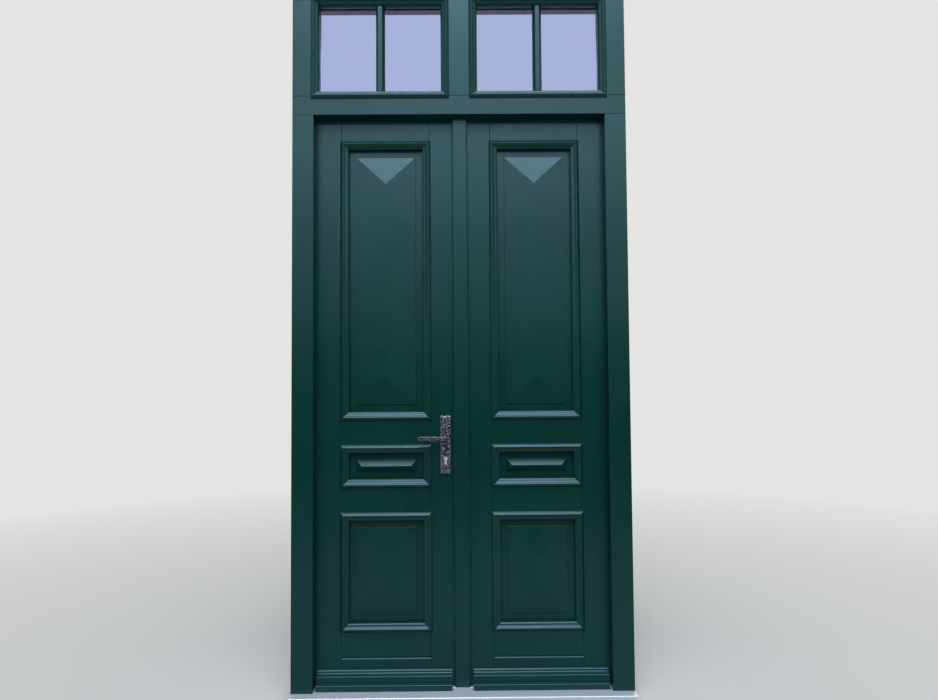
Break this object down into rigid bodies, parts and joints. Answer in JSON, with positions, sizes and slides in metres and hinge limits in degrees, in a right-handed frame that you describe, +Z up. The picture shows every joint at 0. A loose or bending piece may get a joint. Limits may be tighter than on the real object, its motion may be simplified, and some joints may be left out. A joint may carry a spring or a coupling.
{
  "type": "double front door",
  "caption": "Dark green painted timber double front door with diamond-point panels, a glazed transom light, a rebated frame, a metal threshold and a lever lock.",
  "frame": {"origin": "on the threshold's flat underside, mid-width, in the plane of the frame's outer face", "axes": "+Z up, +Y from the street into the house, +X to the right as seen from the street"},
  "size_m": [1.4, 0.226, 2.989],
  "materials": {
    "frame_paint": "satin dark green paint on timber",
    "leaf_paint": "satin dark green paint on timber",
    "moulding_paint": "satin dark green paint on timber",
    "threshold_metal": "satin, light grey",
    "glass": "clear, slightly reflective",
    "spacer_metal": "bright mill finish",
    "seal_rubber": "matt black",
    "handle_metal": "dark hammered pewter look, waxed",
    "steel": "satin",
    "hinge_metal": "dark satin",
    "cylinder_metal": "satin, pale"
  },
  "bodies": {
    "frame": {"astragal": "leaf_paint", "bolt_keeps": "steel", "flush_bolt_plates": "steel", "frame_hinges": "hinge_metal", "frame_seal": "seal_rubber", "glass_left": "glass", "glass_right": "glass", "glass_spacers": "spacer_metal", "glazing_bars": "moulding_paint", "head_rail": "frame_paint", "jamb_left": "frame_paint", "jamb_right": "frame_paint", "light_beads": "moulding_paint", "light_mouldings": "moulding_paint", "mullion": "frame_paint", "passive_beads": "moulding_paint", "passive_bottom_rail": "leaf_paint", "passive_hinge_stile": "leaf_paint", "passive_leaf_hinges": "hinge_metal", "passive_lower_lock_rail": "leaf_paint", "passive_lower_panel": "leaf_paint", "passive_meeting_stile": "leaf_paint", "passive_middle_panel": "leaf_paint", "passive_mouldings": "moulding_paint", "passive_top_rail": "leaf_paint", "passive_upper_lock_rail": "leaf_paint", "passive_upper_panel": "leaf_paint", "passive_weatherboard": "moulding_paint", "strike_plate": "steel", "threshold": "threshold_metal", "transom_rail": "frame_paint", "upper_jamb_left": "frame_paint", "upper_jamb_right": "frame_paint"},
    "active_leaf": {"active_beads": "moulding_paint", "active_bottom_rail": "leaf_paint", "active_hinge_stile": "leaf_paint", "active_leaf_hinges": "hinge_metal", "active_lock_stile": "leaf_paint", "active_lower_lock_rail": "leaf_paint", "active_lower_panel": "leaf_paint", "active_middle_panel": "leaf_paint", "active_mouldings": "moulding_paint", "active_top_rail": "leaf_paint", "active_upper_lock_rail": "leaf_paint", "active_upper_panel": "leaf_paint", "active_weatherboard": "moulding_paint", "inside_astragal": "leaf_paint", "inside_plate": "handle_metal", "lock_case": "steel", "lock_cylinder": "cylinder_metal", "outside_plate": "handle_metal"},
    "lever_set": {"inside_lever": "handle_metal", "outside_lever": "handle_metal", "spindle": "steel"},
    "latch": {"latch_bolt": "steel"},
    "cylinder_core": {"cylinder_plug": "cylinder_metal"},
    "dead_bolt_body": {"dead_bolt": "steel"},
    "top_bolt": {"top_flush_bolt": "steel"},
    "bottom_bolt": {"bottom_flush_bolt": "steel"}
  },
  "joints": [
    {"name": "active_leaf_swing", "type": "hinge", "parent": "frame", "child": "active_leaf", "pos_m": [-0.6245, 0.139, 1.24], "axis": [0, 0, 1], "range_deg": [0, 105]},
    {"name": "lever_turn", "type": "hinge", "parent": "active_leaf", "child": "lever_set", "pos_m": [-0.06648, 0.096, 1.048], "axis": [0, -1, 0], "range_deg": [0, 40], "stiffness_Nm_per_rad": 1.6, "springref_deg": -34.38},
    {"name": "latch_slide", "type": "slide", "parent": "active_leaf", "child": "latch", "axis": [-1, 0, 0], "range_m": [0, 0.0045]},
    {"name": "cylinder_turn", "type": "hinge", "parent": "active_leaf", "child": "cylinder_core", "pos_m": [-0.06648, 0.096, 0.963], "axis": [0, 1, 0], "range_deg": [0, 360]},
    {"name": "dead_bolt_slide", "type": "slide", "parent": "active_leaf", "child": "dead_bolt_body", "axis": [1, 0, 0], "range_m": [0, 0.02]},
    {"name": "top_bolt_slide", "type": "slide", "parent": "frame", "child": "top_bolt", "axis": [0, 0, -1], "range_m": [0, 0.018]},
    {"name": "bottom_bolt_slide", "type": "slide", "parent": "frame", "child": "bottom_bolt", "axis": [0, 0, 1], "range_m": [0, 0.018]}
  ],
  "couplings": [
    {"joint": "latch_slide", "follows": "lever_turn", "m_per_rad": 0.0064457},
    {"joint": "cylinder_turn", "follows": "dead_bolt_slide", "rad_per_m": 314.16}
  ]
}
